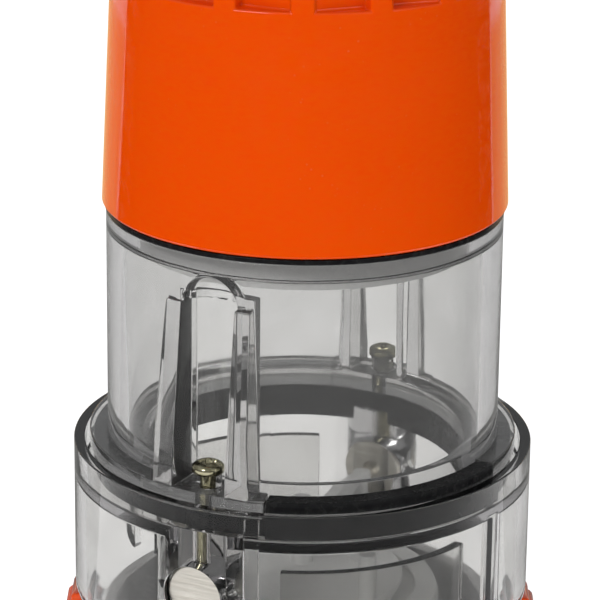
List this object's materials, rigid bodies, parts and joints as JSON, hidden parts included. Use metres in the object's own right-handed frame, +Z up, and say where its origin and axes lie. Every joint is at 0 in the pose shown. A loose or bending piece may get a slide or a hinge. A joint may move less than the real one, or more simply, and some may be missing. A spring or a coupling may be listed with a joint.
{
  "type": "submersible sump pump",
  "caption": "Upright clear-bodied submersible pump with an orange twist-off motor cap, latched strainer base, top hose tail and folding handle.",
  "frame": {"origin": "centre of the middle foot's bottom face, on the pump's axis", "axes": "+Z up along the pump's axis; -Y is the front, +X is the viewer's right"},
  "size_m": [0.128, 0.13, 0.2909],
  "materials": {
    "clear_plastic": "clear moulded",
    "orange_plastic": "gloss moulded",
    "black_rubber": "moulded",
    "foot_rubber": "moulded",
    "dark_plastic": "fine grained",
    "grey_plastic": "fine grained",
    "white_plastic": "satin",
    "nickel": "nickel plated",
    "nut_steel": "turned",
    "steel": "brushed",
    "core_iron": "laminated",
    "copper": "varnished"
  },
  "bodies": {
    "pump_base": {"rubber_feet": "foot_rubber", "foot_cross": "grey_plastic", "strainer_base": "grey_plastic", "strainer_ring": "grey_plastic", "debris_screen": "steel", "latch_pins": "steel", "intake_housing": "clear_plastic", "valve_seat": "white_plastic", "valve_guide": "white_plastic", "barrel_nuts": "nut_steel", "flange_gasket": "black_rubber", "flange_screws": "nickel", "clear_chamber": "clear_plastic", "cap_seal": "black_rubber"},
    "cap_assembly": {"motor_cap": "orange_plastic", "suction_plate": "grey_plastic", "suction_sleeve": "grey_plastic", "diffuser_plate": "dark_plastic", "can_screws": "steel", "motor_can": "steel", "motor_cover": "steel", "shaft_seal": "black_rubber", "lower_bearing": "steel", "upper_bearing": "steel", "stator_core": "core_iron", "stator_windings": "copper", "spout_seal": "black_rubber", "discharge_spout": "dark_plastic", "spout_locknut": "dark_plastic", "hose_tail": "dark_plastic", "gland_body": "dark_plastic", "gland_locknut": "dark_plastic", "gland_grommet": "black_rubber"},
    "rotor": {"rotor_core": "core_iron", "motor_shaft": "steel", "impeller": "dark_plastic", "impeller_nut": "steel"},
    "union_ring": {"union_nut": "dark_plastic"},
    "gland_ring": {"gland_nut": "dark_plastic"},
    "carry_handle": {"handle_rod": "steel", "handle_grip": "black_rubber"},
    "poppet": {"valve_poppet": "white_plastic"},
    "left_latch_lever": {"left_latch": "orange_plastic"},
    "right_latch_lever": {"right_latch": "orange_plastic"}
  },
  "joints": [
    {"name": "cap_turn", "type": "hinge", "parent": "pump_base", "child": "cap_assembly", "pos_m": [0, 0, 0.1496], "axis": [0, 0, 1], "range_deg": [0, 45]},
    {"name": "rotor_spin", "type": "hinge", "parent": "cap_assembly", "child": "rotor", "pos_m": [0, 0, 0.19], "axis": [0, 0, 1], "continuous": true},
    {"name": "union_nut_turn", "type": "hinge", "parent": "cap_assembly", "child": "union_ring", "pos_m": [0, 0.018, 0.264], "axis": [0, 0, 1], "range_deg": [0, 360]},
    {"name": "gland_nut_turn", "type": "hinge", "parent": "cap_assembly", "child": "gland_ring", "pos_m": [0, -0.024, 0.252], "axis": [0, 0, 1], "range_deg": [0, 360]},
    {"name": "handle_swing", "type": "hinge", "parent": "cap_assembly", "child": "carry_handle", "pos_m": [0, 0, 0.2485], "axis": [1, 0, 0], "range_deg": [0, 180]},
    {"name": "poppet_lift", "type": "slide", "parent": "pump_base", "child": "poppet", "axis": [0, 0, 1], "range_m": [0, 0.009]},
    {"name": "left_latch_swing", "type": "hinge", "parent": "pump_base", "child": "left_latch_lever", "pos_m": [-0.06, 0, 0.027], "axis": [0, -1, 0], "range_deg": [0, 50]},
    {"name": "right_latch_swing", "type": "hinge", "parent": "pump_base", "child": "right_latch_lever", "pos_m": [0.06, 0, 0.027], "axis": [0, 1, 0], "range_deg": [0, 50]}
  ]
}
